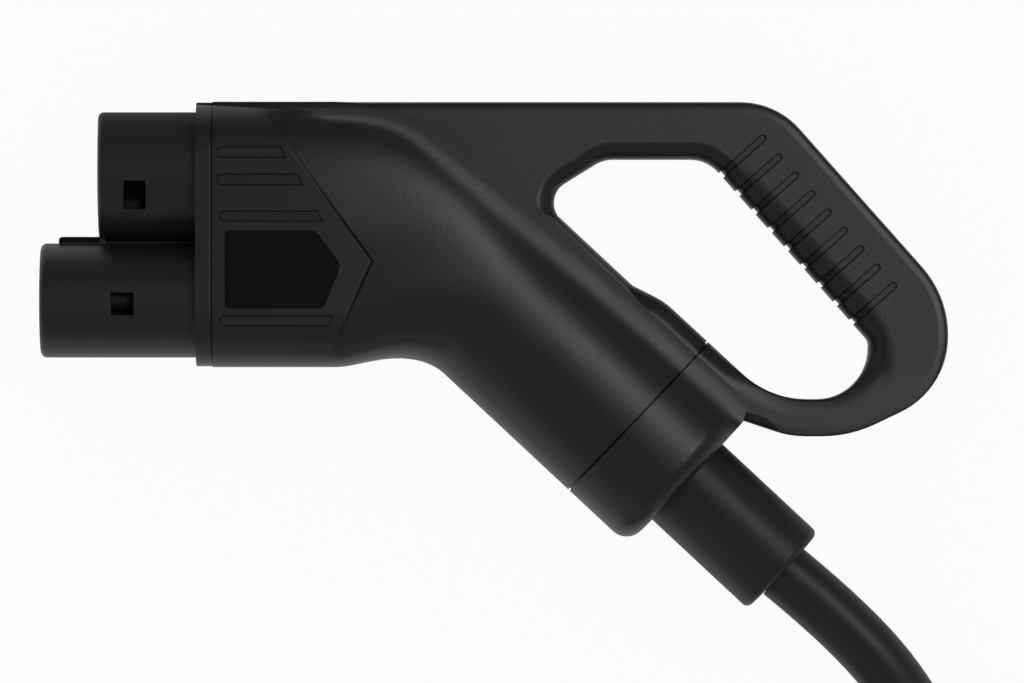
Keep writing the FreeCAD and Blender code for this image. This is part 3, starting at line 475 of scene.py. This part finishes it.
def drafted(shader, x, y, front):
    """The surface with the panel and the tube behind it leant forwards, and a light line at the collar."""
    panel = 1.0 - side_distance(x, y, PANEL).ramp(*PANEL_EDGE)
    behind = (1.0 - x.ramp(*BEHIND_X)) * (1.0 - y.ramp(*BEHIND_Y)) * (1.0 - panel)
    share = panel * (1.0 - x.ramp(*PANEL_FADE) * 0.4) + behind
    normal = shader.leant(shader.surface(), share * front, DRAFT)
    return shader.leant(normal, line(x - COLLAR_EDGE, 0.0003), COLLAR_LEAN)


def shelf_depth(x, y):
    """How far a place lies from the shelf's edge towards the tube, narrower near the collar."""
    inside = None
    for first, second in zip(SHELF, SHELF[1:]):
        distance = side_distance(x, y, [first, second], closed=False) * -1.0
        inside = distance if inside is None else inside.math("SMOOTH_MIN", distance, SHELF_BLEND)
    return inside / (0.4 + x.ramp(*SHELF_WIDEN) * 0.6)


def shelved(shader, normal, inside, x, y, z):
    """The shelf beside the loop: flat outside its edge, a low ridge inside it, then the tube's flank."""
    share = (1.0 - inside.ramp(*SHELF_FLANK)) * x.ramp(*SHELF_START) * z.ramp(*SHELF_Z)
    rise = inside.ramp(*RIDGE) * RIDGE_RISE
    top_edge = y.ramp(*TOP_EDGE) * TOP_EDGE_RISE
    return shader.turned(normal, share, rise * 0.65, rise * 0.76 + top_edge)


def looped(shader, normal, inside, x, y, z, front):
    """The loop: a tight outer rim, an even lower side and a wide soft hollow along the grip."""
    outside = 1.0 - inside.ramp(*LOOP_SIDE)
    rim = side_distance(x, y, LOOP_MIDDLE, closed=False).ramp(*RIM_START) * z.ramp(*RIM_Z)
    normal = shader.turned(normal, rim * outside * 0.7, 0.0, 0.0)
    low = (1.0 - y.ramp(*LOW_Y)) * x.ramp(*LOW_X) * outside
    normal = shader.turned(normal, low * z.ramp(*LOW_Z) * 0.8, LOW_LEAN, 0.0)
    away = side_distance(x, y, OPENING, rounding=OPENING_ROUNDING)
    hollow = (1.0 - away.ramp(*HOLLOW_END)) * away.ramp(*HOLLOW_START)
    hollow = hollow * x.ramp(*HOLLOW_X) * (1.0 - low)
    to_middle = shader.vector("SUBTRACT", [OPENING_MIDDLE, shader.position()])
    level = shader.unit(shader.vector("MULTIPLY", [to_middle, (1.0, 1.0, 0.0)]))
    return shader.leant(normal, hollow * front * HOLLOW_LEAN, level)


def housing_details(shader):
    """The painted shade lines, the fold behind the panel and the soft forms of the tube and loop."""
    x, y, z = shader.axes()
    front = z.ramp(*FRONT_Z)
    fold = path_distance(x, y, FOLD)
    inside = shelf_depth(x, y)
    normal = drafted(shader, x, y, front)
    normal = shelved(shader, normal, inside, x, y, z)
    normal = looped(shader, normal, inside, x, y, z, front)
    return housing_shade_lines(x, y, fold) * front, fold.ramp(*FOLD_RISE) * FOLD_HEIGHT, normal


def box_share(x, y, left, low, right, high):
    """1 inside an upright box."""
    across = abs(x - (left + right) / 2) - (right - left) / 2
    along = abs(y - (low + high) / 2) - (high - low) / 2
    return 1.0 - across.highest(along).ramp(-0.0001, 0.0003)


def window_shade(x, y, z):
    """Painted shade in the rooms behind the two windows of the mating face, darkest along their left and top
    walls.
    """
    shade = None
    for left, low, right, high in WINDOWS:
        room = box_share(x, y, left - 0.002, low - 0.002, right + 0.002, high + 0.002)
        floor = box_share(x, y, left + 0.0014, low - 0.003, right + 0.003, high - 0.0014)
        # Painted shade: full in the room, less on its floor, so the walls stay darkest
        part = room * (1.0 - floor * 0.45)
        shade = part if shade is None else shade.highest(part)
    return shade * (1.0 - z.ramp(WALL_INSIDE - 0.001, WALL_INSIDE)) * z.ramp(0.0, 0.002)


def nose_details(shader):
    """Painted shade on the ledge rib and in the rooms behind the windows, and the draft of the shrouds."""
    x, y, z = shader.axes()
    # Painted shade on the ledge rib under the upper shroud
    shaded_rib = box_share(x, y, *LEDGE_RIB) * z.ramp(0.0, 0.002) * 0.8
    return shaded_rib.highest(window_shade(x, y, z)), None, shader.leant(shader.surface(), 1.0, DRAFT)


def carrier_details(shader):
    """Painted shade in the rooms behind the windows, where the blocks show through them."""
    return window_shade(*shader.axes()), None, None


def hose_details(shader):
    """A lean of the upper side that sets the highlight off the middle of the sleeve and the cable."""
    upper = shader.axes()[2].ramp(-0.002, 0.004)
    return None, None, shader.leant(shader.surface(), upper, HOSE_LEAN)


INSULATOR = (0.012, 0.012, 0.0125)
MATERIALS = {}


class CHARGER_OT_finishes(bpy.types.Operator):
    """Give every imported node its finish"""

    bl_idname = "charger.finishes"
    bl_label = "Finishes"

    def execute(self, context):
        colours = context.scene.charger_finish
        grain = colours.grain
        MATERIALS.update(
            housing=moulded("housing", colours.housing, 0.35, grain, housing_details),
            nose=moulded("nose", colours.nose, 0.38, grain * 0.8, nose_details),
            insulator=moulded("insulator", INSULATOR, 0.55, grain * 0.8, carrier_details),
            label=plain("label", (0.0012, 0.0012, 0.0014), 0.22, specular=0.2),
            seal=plain("seal", (0.03, 0.03, 0.03), 0.7),
            contact=plain("contact", (0.80, 0.79, 0.76), 0.22, metallic=1.0),
            board=plain("board", (0.02, 0.16, 0.06), 0.35),
            core_red=plain("core_red", (0.50, 0.03, 0.025), 0.4),
            core_black=plain("core_black", (0.02, 0.02, 0.02), 0.4),
            core_green=plain("core_green", (0.12, 0.38, 0.05), 0.4),
            core_white=plain("core_white", (0.75, 0.74, 0.70), 0.4),
            clamp=moulded("clamp", (0.10, 0.10, 0.105), 0.5, grain),
            sleeve=moulded("sleeve", colours.housing, 0.46, grain * 0.7, hose_details),
            cable=moulded("cable", colours.cable, 0.44, grain * 0.5, hose_details),
            steel=plain("steel", (0.55, 0.55, 0.56), 0.32, metallic=1.0),
            lug=plain("lug", (0.68, 0.67, 0.64), 0.34, metallic=1.0),
            boot=plain("boot", (0.018, 0.018, 0.018), 0.45),
        )
        for part in frame["record"]["subparts"]:
            node = NODES[part["node"]]
            node.data.materials.clear()
            node.data.materials.append(MATERIALS[part["material_slot"]])
        return {"FINISHED"}


# Cable

def smooth(share):
    """0 to 1, gentle at both ends."""
    share = min(1.0, max(0.0, share))
    return share * share * (3 - 2 * share)


def coil_points(settings):
    """Control points of the coil: flat turns that run inwards, then a climb onto them."""
    count = settings.vertices
    step = (TOP_ANGLE - ENTRY_ANGLE) / count
    widen = 1 / math.cos(math.radians(step / 2))
    turns = (ENTRY_ANGLE - CLIMB_ANGLE) / 360
    points = []
    for i in range(count):
        angle = ENTRY_ANGLE + step * (i + 0.5)
        done = min(turns, max(FIRST_HOLD, (ENTRY_ANGLE - angle) / 360))
        climb = (CLIMB_ANGLE - angle) / (CLIMB_ANGLE - TOP_ANGLE)
        radius = settings.radius - settings.pitch * (done - FIRST_HOLD)
        radius -= LAST_TUCK * smooth((done - turns + LAST_TUCK_TURNS) / LAST_TUCK_TURNS)
        radius += CLIMB_WIDEN * smooth(climb)
        height = COIL_LOW + (COIL_HIGH - COIL_LOW) * smooth(climb * CLIMB_PACE)
        turn = math.radians(angle)
        x = COIL_CENTRE[0] + radius * widen * math.cos(turn)
        y = COIL_CENTRE[1] + radius * widen * math.sin(turn)
        points.append((x, y, height))
    return points


class CHARGER_OT_cable(bpy.types.Operator):
    """Lay the cable from the sleeve to its coil and up to the breakout boot"""

    bl_idname = "charger.cable"
    bl_label = "Cable"

    def execute(self, context):
        settings = context.scene.charger_cable
        points = LEAD + coil_points(settings) + TAIL
        curve = bpy.data.curves.new("cable", "CURVE")
        curve.dimensions = "3D"
        spline = curve.splines.new("NURBS")
        spline.points.add(len(points) - 1)
        for point, place in zip(spline.points, points):
            point.co = (*place, 1.0)
        spline.order_u = 3
        spline.use_endpoint_u = True
        curve.resolution_u = 8
        curve.bevel_depth = settings.diameter / 2
        curve.bevel_resolution = 8
        curve.use_fill_caps = True
        curve.materials.append(MATERIALS["cable"])
        cable = bpy.data.objects.new("cable", curve)
        context.scene.collection.objects.link(cable)
        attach(cable, "root")
        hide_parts("cable_lead", "cable_coil", "cable_tail")
        return {"FINISHED"}


# Studio

KEY_PLACE = (2.91, 0.92, 9.56)
KEY_TARGET = (0.16, -0.08, 0.0)
KEY_SIZE = (2.5, 2.5)
KEY_RADIANCE = 8.1
ROOM_GLOSS = 0.15
ROOM_EDGE = 0.35
ROOM_SIDE = 0.58
ROOM_LIGHT = 0.65
FLOOR_HALF = 4
FLOOR_GREY = 0.6
FLOOR_GLOW = 0.95
FLOOR_GLOSS = 0.3
CAMERA_PLACE = (0.1352, -0.0737)
CAMERA_SENSOR = 36.0


def soft_light(scene, name, place, target, size, radiance):
    """An even rectangular light turned towards a point, with its power from its radiance."""
    lamp = bpy.data.lights.new(name, "AREA")
    lamp.shape = "RECTANGLE"
    lamp.size, lamp.size_y = size
    lamp.energy = math.pi * size[0] * size[1] * radiance
    light = bpy.data.objects.new(name, lamp)
    light.location = place
    light.rotation_euler = (Vector(target) - Vector(place)).to_track_quat("-Z", "Y").to_euler()
    light.visible_camera = False
    scene.collection.objects.link(light)


def white_world():
    """White to the camera, and for gloss a room that darkens from its white horizon upwards."""
    world = bpy.data.worlds.new("studio")
    shader = Shader(world)
    path = shader.node("ShaderNodeLightPath")
    outputs = path.socket.node.outputs
    camera, glossy = Value(shader, outputs["Is Camera Ray"]), Value(shader, outputs["Is Glossy Ray"])
    split = shader.node("ShaderNodeSeparateXYZ", inputs=[shader.node("ShaderNodeTexCoord")])
    side, up = (Value(shader, split.socket.node.outputs[name]) for name in "YZ")
    edge = (1.0 - up).highest(0.0).lowest(1.0) ** 2
    room = (edge * ROOM_EDGE + ROOM_GLOSS) * (1.0 - side.ramp(0.0, 0.9) * ROOM_SIDE)
    strength = camera + (1.0 - camera) * (glossy * room + (1.0 - glossy) * ROOM_LIGHT)
    backdrop = shader.node("ShaderNodeBackground", inputs=[(1.0, 1.0, 1.0, 1.0), strength])
    output = shader.tree.nodes.new("ShaderNodeOutputWorld")
    shader.tree.links.new(backdrop.socket, output.inputs["Surface"])
    return world


def white_floor():
    """A white surface that keeps a faint shadow."""
    shader = Shader(bpy.data.materials.new("floor"))
    path = shader.node("ShaderNodeLightPath")
    outputs = path.socket.node.outputs
    camera, glossy = Value(shader, outputs["Is Camera Ray"]), Value(shader, outputs["Is Glossy Ray"])
    seen = (camera + glossy * FLOOR_GLOSS) * FLOOR_GLOW
    matt = shader.node("ShaderNodeBsdfDiffuse", inputs=[(FLOOR_GREY, FLOOR_GREY, FLOOR_GREY, 1.0)])
    glow = shader.node("ShaderNodeEmission", inputs=[(1.0, 1.0, 1.0, 1.0), 1.0])
    return shader.finish(shader.node("ShaderNodeMixShader", inputs=[seen, matt, glow]))


class CHARGER_OT_studio(bpy.types.Operator):
    """Set up the floor, the light and the camera"""

    bl_idname = "charger.studio"
    bl_label = "Studio"

    def execute(self, context):
        scene = context.scene
        settings = scene.charger_studio
        scene.view_settings.view_transform = "Standard"
        scene.world = white_world()
        low = CAD_BOX[0].z
        half = FLOOR_HALF
        corners = [(-half, -half, low), (half, -half, low), (half, half, low), (-half, half, low)]
        mesh = bpy.data.meshes.new("floor")
        mesh.from_pydata(corners, [], [(0, 1, 2, 3)])
        mesh.materials.append(white_floor())
        floor = bpy.data.objects.new("floor", mesh)
        scene.collection.objects.link(floor)
        soft_light(scene, "key", KEY_PLACE, KEY_TARGET, KEY_SIZE, KEY_RADIANCE * settings.key)
        camera = bpy.data.objects.new("camera", bpy.data.cameras.new("camera"))
        camera.data.lens = settings.lens
        camera.data.sensor_width = CAMERA_SENSOR
        camera.location = (*CAMERA_PLACE, settings.distance)
        scene.collection.objects.link(camera)
        scene.camera = camera
        return {"FINISHED"}


class CHARGER_PT_panel(bpy.types.Panel):
    """The pieces in the order in which they are made"""

    bl_idname = "CHARGER_PT_panel"
    bl_label = "Charging Cable"
    bl_space_type = "VIEW_3D"
    bl_region_type = "UI"
    bl_category = "Charging Cable"

    def draw(self, context):
        layout = self.layout
        scene = context.scene
        for operator in OPERATORS:
            layout.operator(operator.bl_idname)
        for settings in (scene.charger_cable, scene.charger_finish, scene.charger_studio):
            for name in settings.__annotations__:
                layout.prop(settings, name)


OPERATORS = (CHARGER_OT_finishes, CHARGER_OT_cable, CHARGER_OT_studio)
SETTINGS = {
    "charger_cable": CableSettings,
    "charger_finish": FinishSettings,
    "charger_studio": StudioSettings,
}


def register():
    for group in SETTINGS.values():
        bpy.utils.register_class(group)
    for name, group in SETTINGS.items():
        setattr(bpy.types.Scene, name, bpy.props.PointerProperty(type=group))
    for operator in OPERATORS:
        bpy.utils.register_class(operator)
    bpy.utils.register_class(CHARGER_PT_panel)


def unregister():
    bpy.utils.unregister_class(CHARGER_PT_panel)
    for operator in reversed(OPERATORS):
        bpy.utils.unregister_class(operator)
    for name, group in SETTINGS.items():
        delattr(bpy.types.Scene, name)
        bpy.utils.unregister_class(group)


def main():
    """Make every piece."""
    register()
    bpy.ops.charger.finishes()
    bpy.ops.charger.cable()
    bpy.ops.charger.studio()


if __name__ == "__main__":
    main()
